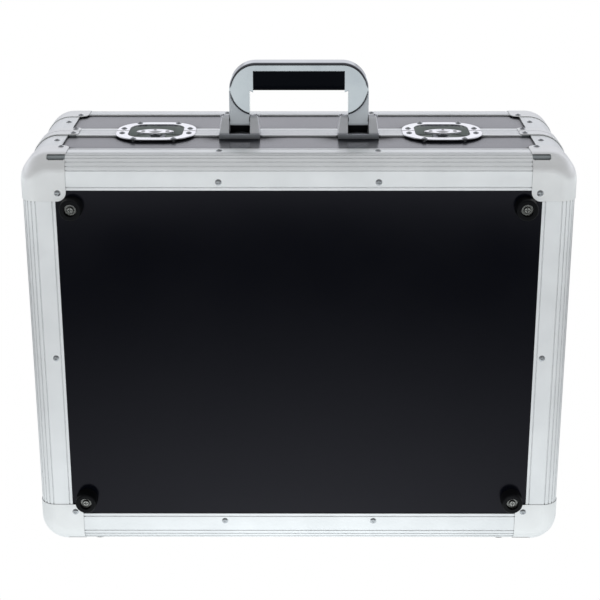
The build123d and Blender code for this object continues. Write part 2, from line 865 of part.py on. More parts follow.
# Handle brackets, each a plate with a lip in front and two ears, stepped over the closing profile
pivot_y = from_parting(base, pivot_depth)
pivot_z = z_high + pivot_height
ear_inner = arm_width / 2 + arm_gap
for name, sx in (("left", -1), ("right", 1)):
    centre = sx * bracket_x
    with BuildPart() as bracket:
        with BuildSketch(Plane(origin=(centre, y_part, z_high), x_dir=(0, -1, 0), z_dir=(-1, 0, 0))):
            with BuildLine():
                Polyline(
                    (bracket_far, rim_proud),
                    (bracket_far, rim_proud + bracket_floor),
                    (bracket_near - lip_thick, rim_proud + bracket_floor),
                    (bracket_near - lip_thick, lip_height - sheet),
                    (bracket_near, lip_height - sheet),
                    (bracket_near, -sheet),
                    (rim_width + 0.2, -sheet),
                    (rim_width + 0.2, rim_proud),
                    close=True,
                )
            make_face()
        extrude(amount=bracket_width / 2, both=True)
        for way in (-1, 1):
            ear_middle = centre + way * (ear_inner + bracket_width / 2) / 2
            with BuildSketch(
                Plane(origin=(ear_middle, y_part, z_high), x_dir=(0, -1, 0), z_dir=(-1, 0, 0))
            ):
                with BuildLine():
                    CenterArc((pivot_depth, pivot_height), ear_radius, 0, 360)
                    Line((bracket_far, rim_proud), (bracket_near - 0.6, rim_proud))
                    Line((bracket_far, rim_proud), (bracket_far, lip_height))
                    Line(
                        (bracket_near - 0.6, rim_proud),
                        (bracket_near - 0.6, lip_height - sheet),
                    )
                make_hull()
            extrude(amount=(bracket_width / 2 - ear_inner) / 2, both=True)
        lift = z_high + rim_proud
        add(
            span(
                (centre - bracket_width, y_part - rim_width - 0.2, z_high - panel_thick),
                (centre + bracket_width, y_part + 2 * rim_width, lift),
            ),
            mode=Mode.SUBTRACT,
        )
        add(
            span(
                (centre - bracket_width, y_part - 2 * bracket_near, z_high - panel_thick),
                (centre + bracket_width, y_part, z_high - sheet),
            ),
            mode=Mode.SUBTRACT,
        )
        ear_top = pivot_height + ear_radius
        with BuildSketch(Plane(origin=(centre, y_part, z_high), x_dir=(1, 0, 0), z_dir=(0, -1, 0))):
            with BuildLine():
                Polyline(
                    (bracket_width / 2, lip_height),
                    (bracket_width / 2 - ear_taper, ear_top),
                    (bracket_width / 2 - ear_taper, ear_top + 1),
                    (bracket_width / 2 + 1, ear_top + 1),
                    (bracket_width / 2 + 1, lip_height),
                    close=True,
                )
            wedge = make_face()
            mirror(wedge, about=Plane.YZ)
        extrude(amount=2 * bracket_near, both=True, mode=Mode.SUBTRACT)
        outer_edges = (
            edges()
            .filter_by(lambda e: e.center().Z > z_high + lip_height + 0.5)
            .filter_by(
                lambda e: all(
                    abs(v.X - centre) > bracket_width / 2 - ear_taper - 0.1 for v in e.vertices()
                )
            )
        )
        fillet(outer_edges, 1.2)
        with Locations((centre, pivot_y, pivot_z)):
            Cylinder(
                pivot_radius,
                2 * (bracket_screw_x - screw_shank_radius - 0.8),
                rotation=(0, 90, 0),
                mode=Mode.SUBTRACT,
            )
        with Locations(*[p for p in bracket_screw_spots if p.origin.X * sx > 0]):
            Cylinder(
                screw_head_radius + 0.2,
                3 * screw_head_height,
                align=(Align.CENTER, Align.CENTER, Align.MIN),
                mode=Mode.SUBTRACT,
            )
            Cylinder(screw_shank_radius, 2 * bracket_screw_length, mode=Mode.SUBTRACT)
    write(bracket.part, f"handle_bracket_{name}")

with BuildPart() as handle_pins:
    with Locations((-bracket_x, pivot_y, pivot_z), (bracket_x, pivot_y, pivot_z)):
        Cylinder(
            pivot_radius, 2 * (bracket_screw_x - screw_shank_radius - 0.8), rotation=(0, 90, 0)
        )
write(handle_pins.part, "handle_pins")

with BuildPart() as bracket_screws:
    with Locations(*bracket_screw_spots):
        add(bracket_screw.part)
write(bracket_screws.part, "handle_bracket_screws")


# Handle arms: a barrel round the pin, then a leg that widens into the shell
def handle_arm(sx):
    outline_plane = Plane(
        origin=(sx * bracket_x, pivot_y, z_high), x_dir=(0, 1, 0), z_dir=(1, 0, 0)
    )
    with BuildPart() as arm:
        with BuildSketch(outline_plane):
            with Locations((0, pivot_height)):
                Circle(barrel_radius)
            with BuildLine():
                Polyline(
                    (-barrel_radius, pivot_height),
                    (-arm_top_half, arm_top),
                    (arm_top_half, arm_top),
                    (barrel_radius, pivot_height),
                    close=True,
                )
            make_face()
        extrude(amount=arm_width / 2, both=True)
        fillet(edges().filter_by(lambda e: abs(e.center().X - sx * bracket_x) > 9).filter_by(
            lambda e: e.length > 20), 1.2)
        with Locations((sx * bracket_x, pivot_y, pivot_z)):
            Cylinder(
                pivot_radius + pivot_clearance,
                2 * arm_width,
                rotation=(0, 90, 0),
                mode=Mode.SUBTRACT,
            )
    return arm.part


arms = {"left": handle_arm(-1), "right": handle_arm(1)}
for name, arm in arms.items():
    write(arm, f"handle_arm_{name}")

# Chrome shell: a top bar between two round cheeks that cover the upper ends of the arms
arm_inner_x = bracket_x - arm_width / 2
cheek_z = handle_top - cheek_radius
grip_top = handle_top - bar_thick
grip_low = grip_top - grip_height
with BuildPart() as shell:
    with BuildSketch(Plane(origin=(0, pivot_y, z_high), x_dir=(1, 0, 0), z_dir=(0, -1, 0))):
        with Locations((-cheek_x, cheek_z), (cheek_x, cheek_z)):
            Circle(cheek_radius)
        with Locations((0, handle_top)):
            Rectangle(2 * cheek_x, cheek_radius, align=(Align.CENTER, Align.MAX))
        with Locations((0, grip_top)):
            Rectangle(
                2 * (grip_half_length + fit_gap),
                2 * cheek_radius,
                align=(Align.CENTER, Align.MAX),
                mode=Mode.SUBTRACT,
            )
        with Locations((0, grip_low + 5.0)):
            Rectangle(
                2 * arm_inner_x,
                2 * cheek_radius,
                align=(Align.CENTER, Align.MAX),
                mode=Mode.SUBTRACT,
            )
        with BuildLine():
            Polyline(
                (arm_inner_x + 1, grip_low + 6.5),
                (arm_inner_x + 1, grip_low + 1.5),
                (grip_half_length + fit_gap, grip_low - 0.8),
                (grip_half_length + fit_gap, grip_low + 5.5),
                close=True,
            )
        tab = make_face()
        mirror(tab, about=Plane.YZ)
    extrude(amount=shell_half_depth, both=True)
    rim_edges = edges().filter_by(
        lambda e: abs(abs(e.center().Y - pivot_y) - shell_half_depth) < 0.01
    )
    outline = rim_edges.filter_by(
        lambda e: e.center().Z > z_high + handle_top - 0.1
        or (e.geom_type == GeomType.CIRCLE and e.length > 20)
    )
    fillet(outline, 2.4)
    for arm in arms.values():
        with BuildPart(mode=Mode.PRIVATE) as filled:
            add(arm)
            with Locations((0, pivot_y, pivot_z)):
                Cylinder(pivot_radius + 1, 3 * bracket_x, rotation=(0, 90, 0))
        add(filled.part, mode=Mode.SUBTRACT)
write(shell.part, "handle_shell")

with BuildPart() as grip:
    with BuildSketch(
        Plane(origin=(0, pivot_y, z_high + grip_low), x_dir=(0, 1, 0), z_dir=(1, 0, 0))
    ):
        Rectangle(2 * grip_half_depth, grip_height, align=(Align.CENTER, Align.MIN))
        fillet(vertices().group_by(Axis.Y)[0], grip_half_depth * 0.75)
    extrude(amount=grip_half_length, both=True)
write(grip.part, "handle_grip")

# Latch dishes: a plate on top, a tub below, in two halves that meet at the parting plane
floor_low = rim_proud - dish_depth - dish_wall
floor_top = rim_proud - dish_depth
rotor_y = from_parting(base, rotor_depth)


def dish(half, name, sx):
    centre = (sx * latch_x, y_part)
    ys = sorted((from_parting(half, plate_gap), from_parting(half, plate_length)))
    with BuildPart() as tray:
        with BuildSketch(Plane.XY.offset(z_high + rim_proud)):
            with Locations(centre):
                RectangleRounded(plate_width, plate_length, plate_round)
        extrude(amount=plate_thick)
        fillet(faces().sort_by(Axis.Z)[-1].edges(), plate_thick * 0.6)
        with BuildSketch(Plane.XY.offset(z_high + floor_low)):
            with Locations(centre):
                RectangleRounded(
                    dish_width + 2 * dish_wall,
                    dish_length + 2 * dish_wall,
                    dish_round + dish_wall,
                )
        extrude(amount=rim_proud - floor_low + plate_thick / 2)
        with BuildSketch(Plane.XY.offset(z_high + floor_top)):
            with Locations(centre):
                RectangleRounded(dish_width, dish_length, dish_round)
        extrude(amount=2 * dish_depth, mode=Mode.SUBTRACT)
        add(
            span(
                (sx * latch_x - plate_width, ys[0], z_high - 2 * dish_depth),
                (sx * latch_x + plate_width, ys[1], z_high + dish_depth),
            ),
            mode=Mode.INTERSECT,
        )
        if half is base:
            with Locations((sx * latch_x, rotor_y, z_high + floor_top)):
                Cylinder(spindle_radius + spindle_clearance, 4, mode=Mode.SUBTRACT)
        else:
            add(
                span(
                    (
                        sx * latch_x - hook_bar_half_width - 1,
                        y_part + keeper_near,
                        z_high + floor_top - 0.2,
                    ),
                    (
                        sx * latch_x + hook_bar_half_width + 1,
                        y_part + keeper_near + keeper_thick,
                        z_high + floor_top + keeper_height,
                    ),
                )
            )
        add(drill(half, tray), mode=Mode.SUBTRACT)
    write(tray.part, f"latch_{name}_{half.name}_dish")


# Heights in the latch, from the top plane of the case
rotor_foot_low = floor_top + 0.1
hook_low = floor_top + keeper_height + hook_play
hook_top = hook_low + hook_thick
wing_low = plate_top + wing_gap
wing_pin_z = 0.0
knuckle_half = 2.0
wing_ear_thick = 2.0
wing_ear_low = -1.9

for name, sx in (("left", -1), ("right", 1)):
    dish(base, name, sx)
    dish(lid, name, sx)
    x = sx * latch_x
    pin_y = rotor_y + wing_pin_offset
    with BuildPart() as rotor:
        for radius, low, high, dy in (
            (spindle_radius + 1.5, floor_low - 1.3, floor_low - 0.1, 0),
            (spindle_radius, floor_low - 0.2, rotor_foot_low + 0.1, 0),
            (9.0, rotor_foot_low, hook_low - 0.15, 0),
            (eccentric_radius, hook_low - 0.2, hook_top + 0.2, -eccentric_offset),
            (7.5, hook_top + 0.15, hook_top + 1.6, 0),
            (4.8, hook_top + 1.5, wing_pin_z + knuckle_half - 0.6, 0),
        ):
            with Locations((x, rotor_y + dy, z_high + (low + high) / 2)):
                Cylinder(radius, high - low)
        with Locations((x, pin_y, z_high + wing_pin_z)):
            Cylinder(knuckle_half, 8.0, rotation=(0, 90, 0))
        add(
            span(
                (x - 4.0, rotor_y, z_high + hook_top + 1.5),
                (x + 4.0, pin_y + knuckle_half * 0.5, z_high + wing_pin_z + 0.2),
            )
        )
        with Locations((x, pin_y, z_high + wing_pin_z)):
            Cylinder(wing_pin_radius, 20.0, rotation=(0, 90, 0), mode=Mode.SUBTRACT)
    write(rotor.part, f"latch_{name}_rotor")

    with BuildPart() as wing_pin:
        with Locations((x, pin_y, z_high + wing_pin_z)):
            Cylinder(wing_pin_radius, 2 * (4.3 + wing_ear_thick), rotation=(0, 90, 0))
    write(wing_pin.part, f"latch_{name}_wing_pin")

    # Wing: a pointed oval plate with two finger holes, a domed boss and two ears on the pin
    with BuildPart() as wing:
        with BuildSketch(Plane.XY.offset(z_high + wing_low)):
            with BuildLine():
                ThreePointArc(
                    (x - wing_length / 2, rotor_y),
                    (x, rotor_y + wing_width / 2),
                    (x + wing_length / 2, rotor_y),
                )
                ThreePointArc(
                    (x + wing_length / 2, rotor_y),
                    (x, rotor_y - wing_width / 2),
                    (x - wing_length / 2, rotor_y),
                )
            make_face()
            fillet(vertices(), 2.2)
            with Locations((x - wing_hole_x, rotor_y), (x + wing_hole_x, rotor_y)):
                Circle(wing_hole_radius, mode=Mode.SUBTRACT)
        extrude(amount=wing_thick)
        fillet(faces().sort_by(Axis.Z)[-1].edges(), 0.6)
        ball = (dome_radius**2 + dome_height**2) / (2 * dome_height)
        boss = Plane(
            origin=(x, rotor_y, z_high + wing_low + wing_thick), x_dir=(1, 0, 0), z_dir=(0, -1, 0)
        )
        with BuildSketch(boss):
            with BuildLine():
                Line((0, 0), (dome_radius, 0))
                RadiusArc((dome_radius, 0), (0, dome_height), -ball)
                Line((0, dome_height), (0, 0))
            make_face()
        revolve(axis=Axis((x, rotor_y, 0), (0, 0, 1)))
        with Locations((x, rotor_y, z_high + wing_low + wing_thick + dome_height)):
            Cylinder(dome_dimple_radius, 2 * dome_dimple_depth, mode=Mode.SUBTRACT)
        for way in (-1, 1):
            ear_x = x + way * (4.3 + wing_ear_thick / 2)
            add(
                span(
                    (ear_x - wing_ear_thick / 2, pin_y - 2.0, z_high + wing_ear_low),
                    (ear_x + wing_ear_thick / 2, pin_y + 2.0, z_high + wing_low + 0.2),
                )
            )
        with Locations((x, pin_y, z_high + wing_pin_z)):
            Cylinder(wing_pin_radius + 0.05, 20.0, rotation=(0, 90, 0), mode=Mode.SUBTRACT)
    write(wing.part, f"latch_{name}_wing")

    # Hook: a flat plate with a slot for the eccentric, a bar and a turned-down lip
    slot_y = rotor_y - eccentric_offset
    lip_near = y_part + keeper_near + keeper_thick + hook_play
    with BuildPart() as hook:
        add(
            span(
                (x - hook_half_width, slot_y - 11.0, z_high + hook_low),
                (x + hook_half_width, slot_y + 10.5, z_high + hook_top),
            )
        )
        fillet(edges().filter_by(Axis.Z), 3.0)
        add(
            span(
                (x - hook_bar_half_width, rotor_y, z_high + hook_low),
                (x + hook_bar_half_width, lip_near + hook_thick, z_high + hook_top),
            )
        )
        add(
            span(
                (x - hook_bar_half_width, lip_near, z_high + floor_top + hook_play),
                (x + hook_bar_half_width, lip_near + hook_thick, z_high + hook_top),
            )
        )
        with BuildSketch(Plane.XY.offset(z_high + hook_low - 1)):
            with Locations((x, slot_y)):
                RectangleRounded(
                    2 * (eccentric_radius + eccentric_offset + 0.3),
                    2 * (eccentric_radius + eccentric_slack),
                    eccentric_radius,
                )
        extrude(amount=3 * hook_thick, mode=Mode.SUBTRACT)
    write(hook.part, f"latch_{name}_hook")

# Hinges: base and lid leaves with alternate knuckles on a pin below the parting edge
pin_z = z_low - rim_proud - hinge_leaf_thick / 2
leaf_low = z_low - rim_proud - hinge_leaf_thick
leaf_high = z_low - rim_proud
segment = hinge_length / knuckle_count


def hinge_leaves(half):
    with BuildPart() as leaves:
        for sx in (-1, 1):
            x0 = sx * hinge_x - hinge_length / 2
            ys = sorted(
                (from_parting(half, knuckle_radius + 0.4), from_parting(half, hinge_leaf_depth))
            )
            add(span((x0, ys[0], leaf_low), (x0 + hinge_length, ys[1], leaf_high)))
            for n in range(0 if half is base else 1, knuckle_count, 2):
                low_x = x0 + n * segment + knuckle_gap / 2
                high_x = x0 + (n + 1) * segment - knuckle_gap / 2
                with Locations(((low_x + high_x) / 2, y_part, pin_z)):
                    Cylinder(knuckle_radius, high_x - low_x, rotation=(0, 90, 0))
                reach = sorted((y_part, from_parting(half, knuckle_radius + 0.5)))
                add(span((low_x, reach[0], leaf_low), (high_x, reach[1], leaf_high)))
        with Locations((0, y_part, pin_z)):
            radius = hinge_pin_radius + (0 if half is base else hinge_pin_clearance)
            Cylinder(radius, 2 * hinge_x + 2 * hinge_length, rotation=(0, 90, 0), mode=Mode.SUBTRACT)
        add(drill(half, leaves), mode=Mode.SUBTRACT)
    write(leaves.part, f"hinge_{half.name}_leaves")


hinge_leaves(base)
hinge_leaves(lid)

with BuildPart() as hinge_pins:
    with Locations((-hinge_x, y_part, pin_z), (hinge_x, y_part, pin_z)):
        Cylinder(hinge_pin_radius, hinge_length, rotation=(0, 90, 0))
write(hinge_pins.part, "hinge_pins")
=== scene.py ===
import math

import bpy
from mathutils import Matrix, Vector


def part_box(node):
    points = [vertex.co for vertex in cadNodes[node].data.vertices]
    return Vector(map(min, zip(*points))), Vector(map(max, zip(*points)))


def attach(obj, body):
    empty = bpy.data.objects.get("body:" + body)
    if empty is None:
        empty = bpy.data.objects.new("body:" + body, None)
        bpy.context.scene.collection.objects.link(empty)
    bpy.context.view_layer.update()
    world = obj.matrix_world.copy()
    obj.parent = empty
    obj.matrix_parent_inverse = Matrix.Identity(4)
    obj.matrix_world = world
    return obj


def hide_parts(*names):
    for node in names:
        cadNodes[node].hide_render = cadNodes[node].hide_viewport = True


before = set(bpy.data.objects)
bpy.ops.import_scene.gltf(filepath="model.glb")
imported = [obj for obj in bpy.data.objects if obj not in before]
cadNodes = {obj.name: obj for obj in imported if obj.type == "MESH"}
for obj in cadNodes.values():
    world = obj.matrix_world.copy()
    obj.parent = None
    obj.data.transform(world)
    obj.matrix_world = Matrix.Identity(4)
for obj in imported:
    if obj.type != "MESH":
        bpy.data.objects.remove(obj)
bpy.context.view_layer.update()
bpy.ops.object.select_all(action="DESELECT")
print("frame loaded:", len(cadNodes), "pieces")

# How many rays look round each point: at edges, in crevices, and beside what stands on a face
lookRays = {"edge": 4, "crevice": 4, "beside": 16}


# Small helpers for shader graphs
def startMaterial(name, colour, metallic, roughness):
    material = bpy.data.materials.new(name)
    material.use_nodes = True
    tree = material.node_tree
    shader = tree.nodes["Principled BSDF"]
    shader.inputs["Base Color"].default_value = (*colour, 1)
    shader.inputs["Metallic"].default_value = metallic
    shader.inputs["Roughness"].default_value = roughness
    material.diffuse_color = (*colour, 1)
    return material, tree, shader


def node(tree, kind, **values):
    made = tree.nodes.new("ShaderNode" + kind)
    for key, value in values.items():
        if key in made.inputs:
            made.inputs[key].default_value = value
        else:
            setattr(made, key, value)
    return made


def patternCoords(tree, scale=(1, 1, 1)):
    place = node(tree, "TexCoord")
    mapping = node(tree, "Mapping", Scale=scale)
    tree.links.new(place.outputs["Object"], mapping.inputs["Vector"])
    return mapping.outputs["Vector"]


def noise(tree, coords, scale, detail=3.0, rough=0.5):
    made = node(tree, "TexNoise", Scale=scale, Detail=detail, Roughness=rough)
    tree.links.new(coords, made.inputs["Vector"])
    return made.outputs["Fac"]


def spread(tree, source, low, high, fromLow=0.3, fromHigh=0.7):
    # the range that comes in is the one given, or else the one that noise mostly keeps to
    made = node(tree, "MapRange")
    for key, value in (
        ("From Min", fromLow),
        ("From Max", fromHigh),
        ("To Min", low),
        ("To Max", high),
    ):
        made.inputs[key].default_value = value
    tree.links.new(source, made.inputs["Value"])
    return made.outputs["Result"]


def distanceAlong(tree, axis):
    place = node(tree, "TexCoord")
    parts = node(tree, "SeparateXYZ")
    tree.links.new(place.outputs["Object"], parts.inputs["Vector"])
    return parts.outputs[axis]


def heightShare(tree, low, high):
    # nothing below the first height of the case, all above the second
    return spread(tree, distanceAlong(tree, "Z"), 0, 1, low, high)


def cappedShare(tree, start, end):
    # nothing as far out as the first distance to either side, all beyond the second
    size = node(tree, "Math", operation="ABSOLUTE")
    tree.links.new(distanceAlong(tree, "X"), size.inputs[0])
    return spread(tree, size.outputs["Value"], 0, 1, start, end)


def blend(tree, share, first, second):
    # each of the two is a colour or an output of the graph
    made = node(tree, "Mix", data_type="RGBA")
    tree.links.new(share, made.inputs[0])
    for socket, colour in ((6, first), (7, second)):
        if isinstance(colour, tuple):
            made.inputs[socket].default_value = (*colour, 1)
        else:
            tree.links.new(colour, made.inputs[socket])
    return made.outputs[2]


def bump(tree, shader, source, distance, strength, edge):
    # a distance raises the pattern, and an edge rounds the corners of the piece
    normal = None
    if edge:
        normal = node(tree, "Bevel", Radius=edge, samples=lookRays["edge"]).outputs["Normal"]
    if distance:
        made = node(tree, "Bump", Strength=strength, Distance=distance)
        tree.links.new(source, made.inputs["Height"])
        if normal:
            tree.links.new(normal, made.inputs["Normal"])
        normal = made.outputs["Normal"]
    if normal:
        tree.links.new(normal, shader.inputs["Normal"])


def paintCreviceShade(tree, shader, colour, reach, least, shut=0.25, clear=0.75):
    # painted shade: the colour goes dark where a crevice shuts out the light
    hollow = node(tree, "AmbientOcclusion", Distance=reach, samples=lookRays["crevice"])
    depth = spread(tree, hollow.outputs["AO"], least, 1, shut, clear)
    mixed = node(tree, "Mix", data_type="RGBA", blend_type="MULTIPLY")
    mixed.inputs[0].default_value = 1.0
    tree.links.new(colour, mixed.inputs[6])
    tree.links.new(depth, mixed.inputs[7])
    tree.links.new(mixed.outputs[2], shader.inputs["Base Color"])


# Extruded aluminium, with die lines along each length
aluminium = {
    "colour": (0.83, 0.855, 0.87),
    "dull": (0.77, 0.795, 0.81),
    "cloud": 28.0,
    "metallic": 0.52,
    "creviceShadeReach": 0.0026,
    "creviceShadeLeast": 0.05,
    "plainRoughness": 0.3,
    "roughness": (0.28, 0.42),
    "linesPerMetre": 1400,
    "alongLine": 5,
    "streak": (1.0, 4.0, 0.6),
    "relief": 0.4,
    "depth": 0.00003,
    "edge": 0.0004,
    "capShade": (0.28, 0.31, 0.32),
    "capShadeLength": 0.0174,
    "capShadeFade": 0.0006,
}
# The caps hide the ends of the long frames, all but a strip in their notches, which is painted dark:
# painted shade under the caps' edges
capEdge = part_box("base_frame_top")[1][0] - aluminium["capShadeLength"]


def aluminiumFinish(name, along):
    a = aluminium
    material, tree, shader = startMaterial(name, a["colour"], a["metallic"], a["plainRoughness"])
    lines = [a["linesPerMetre"]] * 3
    lines["xyz".index(along)] = a["alongLine"]
    streak = noise(tree, patternCoords(tree, lines), *a["streak"])
    cloud = noise(tree, patternCoords(tree), a["cloud"])
    tree.links.new(spread(tree, streak, *a["roughness"]), shader.inputs["Roughness"])
    colour = blend(tree, spread(tree, cloud, 0, 1), a["colour"], a["dull"])
    # painted shade on the ends of the frames at the caps
    if along == "x":
        share = cappedShare(tree, capEdge, capEdge + a["capShadeFade"])
        colour = blend(tree, share, colour, a["capShade"])
    # painted shade in the crevices
    paintCreviceShade(tree, shader, colour, a["creviceShadeReach"], a["creviceShadeLeast"])
    bump(tree, shader, streak, a["depth"], a["relief"], a["edge"])
    return material


# What all the other metals share: the size of their clouds, and the detail and relief of their grain
metalTexture = {"cloud": 35.0, "grain": (4.0, 0.6), "relief": 0.4}


def metalFinish(name, m):
    material, tree, shader = startMaterial(name, m["colour"], m["metallic"], m["roughness"])
    coords = patternCoords(tree)
    cloud = noise(tree, coords, metalTexture["cloud"])
    colour = blend(tree, spread(tree, cloud, 0, 1), m["colour"], m["dull"])
    if "lower" in m:
        lower = m["lower"]
        share = heightShare(tree, *lower["heights"])
        colour = blend(tree, share, lower["colour"], colour)
        for socket in ("metallic", "roughness"):
            tree.links.new(
                spread(tree, share, lower[socket], m[socket], 0, 1),
                shader.inputs[socket.capitalize()],
            )
    # painted shade in the crevices
    paintCreviceShade(tree, shader, colour, m["creviceShadeReach"], m["creviceShadeLeast"], *m.get("creviceShadeRange", ()))
    grain = noise(tree, coords, m["grain"], *metalTexture["grain"]) if "grain" in m else None
    bump(tree, shader, grain, m.get("depth", 0), metalTexture["relief"], m.get("edge", 0))
    return material


# Heights on the case where one finish gives way to another, from the pieces themselves
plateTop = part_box("latch_left_base_dish")[1][2]
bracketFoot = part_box("handle_bracket_left")[0][2]

# Plated sheet steel: caps, closing corners and hinges
plate = {
    "colour": (0.86, 0.875, 0.88),
    "dull": (0.81, 0.825, 0.83),
    "metallic": 0.60,
    "creviceShadeReach": 0.0026,
    "creviceShadeLeast": 0.03,
    "roughness": 0.36,
}

# Polished chrome: the handle's shell and pins
chrome = {
    "colour": (0.52, 0.545, 0.565),
    "dull": (0.45, 0.475, 0.50),
    "metallic": 1.0,
    "creviceShadeReach": 0.0025,
    "creviceShadeLeast": 0.02,
    "roughness": 0.085,
    "grain": 90,
    "depth": 0.00003,
    "edge": 0.0006,
}

# Latch plates, polished on top and dull down in the dish, and the brighter chrome of the wings
latchPlate = {
    **chrome,
    "colour": (0.97, 0.97, 0.98),
    "dull": (0.92, 0.92, 0.94),
    "roughness": 0.14,
    "lower": {
        "heights": (plateTop - 0.0026, plateTop - 0.0016),
        "colour": (0.50, 0.54, 0.53),
        "metallic": 0.55,
        "roughness": 0.40,
    },
}
wingChrome = {**chrome, "colour": (0.97, 0.97, 0.98), "dull": (0.93, 0.93, 0.94)}

# Satin handle arms, and brackets that are darker and smoother at the foot
satin = {
    "colour": (0.62, 0.67, 0.71),
    "dull": (0.58, 0.625, 0.66),
    "metallic": 0.45,
    "creviceShadeReach": 0.0025,
    "creviceShadeLeast": 0.02,
    "roughness": 0.29,
    "edge": 0.0006,
}
bracketSatin = {
    **satin,
    "colour": (0.84, 0.86, 0.89),
    "dull": (0.76, 0.78, 0.81),
    "metallic": 0.70,
    "roughness": 0.36,
    # wider crevice darkening: painted shade down the bracket's lip and ears
    "creviceShadeReach": 0.010,
    "creviceShadeRange": (0.35, 0.70),
    "lower": {
        "heights": (bracketFoot + 0.0050, bracketFoot + 0.0062),
        "colour": (0.56, 0.59, 0.63),
        "metallic": 0.80,
        "roughness": 0.30,
    },
}

# Rivets and bracket screws, and the washers and screws down in the rubber feet
rivetSteel = {
    "colour": (0.56, 0.58, 0.60),
    "dull": (0.44, 0.46, 0.48),
    "metallic": 0.85,
    "creviceShadeReach": 0.0016,
    "creviceShadeLeast": 0.02,
    "roughness": 0.21,
    "grain": 300,
    "depth": 0.00003,
    "edge": 0.0003,
}
# the washers and screws down in the rubber feet: a darker copy of the rivet steel with wider crevice
# darkening, painted shade of the recess
sunkShadedSteel = {
    **rivetSteel,
    "colour": (0.50, 0.50, 0.48),
    "dull": (0.36, 0.36, 0.34),
    "metallic": 0.9,
    "creviceShadeReach": 0.006,
    "creviceShadeLeast": 0.03,
}

# Galvanised rotor and hook of the latch, seen through the plate's opening
zinc = {
    "colour": (0.50, 0.51, 0.54),
    "dull": (0.26, 0.27, 0.30),
    "metallic": 0.9,
    "creviceShadeReach": 0.006,
    "creviceShadeLeast": 0.02,
    "roughness": 0.375,
    "grain": 160,
    "depth": 0.00008,
    "edge": 0.0004,
}

# What all the black surfaces share
skin = {
    "cloud": (7.0, 4.0, 0.55),
    "peelDetail": 2.0,
    "relief": 0.35,
    "edge": 0.0003,
    "leastSheen": 0.02,
    "open": (0.90, 0.995),  # how open a point is where its sheen starts, and where it is full
}


def skinFinish(name, m):
    material, tree, shader = startMaterial(name, m["colour"], 0.0, m["roughness"][0])
    shader.inputs["Specular IOR Level"].default_value = m["specular"]
    shader.inputs["Specular Tint"].default_value = (*m.get("specularTint", (1, 1, 1)), 1)
    shader.inputs["Coat Weight"].default_value = m.get("coat", 0)
    shader.inputs["Coat Roughness"].default_value = m["roughness"][0]
    if "shadeReach" in m:
        # painted shade: no sheen close to what stands on the surface
        beside = node(tree, "AmbientOcclusion", Distance=m["shadeReach"], samples=lookRays["beside"])
        for socket, most in (("Specular IOR Level", m["specular"]), ("Coat Weight", m["coat"])):
            tree.links.new(
                spread(tree, beside.outputs["AO"], skin["leastSheen"], most, *skin["open"]),
                shader.inputs[socket],
            )
    coords = patternCoords(tree)
    cloud = noise(tree, coords, *skin["cloud"])
    peel = noise(tree, coords, m["peel"], skin["peelDetail"])
    tree.links.new(spread(tree, cloud, *m["roughness"]), shader.inputs["Roughness"])
    tree.links.new(
        blend(tree, spread(tree, cloud, 0, 1), m["colour"], m["smudge"]),
        shader.inputs["Base Color"],
    )
    bump(tree, shader, peel, m["peelDepth"], skin["relief"], skin["edge"])
    return material


# Laminate skin of the plywood, one laminate in two copies: the walls are glossier and lighter than
# the two large faces, painted light that makes the top of the case lighter than its front
laminate = {
    "colour": (0.0060, 0.0066, 0.0090),
    "smudge": (0.0085, 0.0090, 0.0115),
    "specular": 0.95,
    "specularTint": (0.84, 0.855, 1.0),
    "coat": 0.35,
    "shadeReach": 0.030,
    "roughness": (0.20, 0.27),
    "peel": 900,
    "peelDepth": 0.00006,
}
faceLaminate = {
    "colour": (0.0007, 0.0010, 0.0022),
    "smudge": (0.0014, 0.0017, 0.0030),
    "specular": 0.26,
    "specularTint": (0.92, 0.88, 1.0),
    "roughness": (0.14, 0.18),
    "peel": 900,
    "peelDepth": 0.00006,
}

# Rubber of the feet and the stop plates, and plastic of the grip
rubber = {
    "colour": (0.0022, 0.0024, 0.0030),
    "smudge": (0.0045, 0.0048, 0.0055),
    "specular": 0.13,
    "roughness": (0.42, 0.58),
    "peel": 1500,
    "peelDepth": 0.00015,
}
gripPlastic = {
    "colour": (0.0008, 0.0013, 0.0028),
    "smudge": (0.0020, 0.0026, 0.0042),
    "specular": 0.07,
    "roughness": (0.38, 0.50),
    "peel": 1100,
    "peelDepth": 0.0002,
}

# Open-cell lining foam
foam = {
    "colour": (0.030, 0.030, 0.033),
    "smudge": (0.050, 0.050, 0.055),
    "specular": 0.1,
    "roughness": (0.90, 1.0),
    "peel": 1300,
    "peelDepth": 0.0006,
}

finishes = {
    "alongX": aluminiumFinish("extruded_aluminium_x", "x"),
    "alongY": aluminiumFinish("extruded_aluminium_y", "y"),
    "alongZ": aluminiumFinish("extruded_aluminium_z", "z"),
    "plate": metalFinish("plated_steel", plate),
    "chrome": metalFinish("polished_chrome", chrome),
    "latchPlate": metalFinish("latch_chrome", latchPlate),
    "wing": metalFinish("wing_chrome", wingChrome),
    "satin": metalFinish("satin_chrome", satin),
    "bracketSatin": metalFinish("bracket_chrome", bracketSatin),
    "rivetSteel": metalFinish("rivet_steel", rivetSteel),
    "sunkShadedSteel": metalFinish("sunk_shaded_steel", sunkShadedSteel),
    "zinc": metalFinish("galvanised_steel", zinc),
    "laminate": skinFinish("black_laminate", laminate),
    "faceLaminate": skinFinish("black_face_laminate", faceLaminate),
    "rubber": skinFinish("black_rubber", rubber),
    "grip": skinFinish("black_grip", gripPlastic),
    "foam": skinFinish("lining_foam", foam),
}

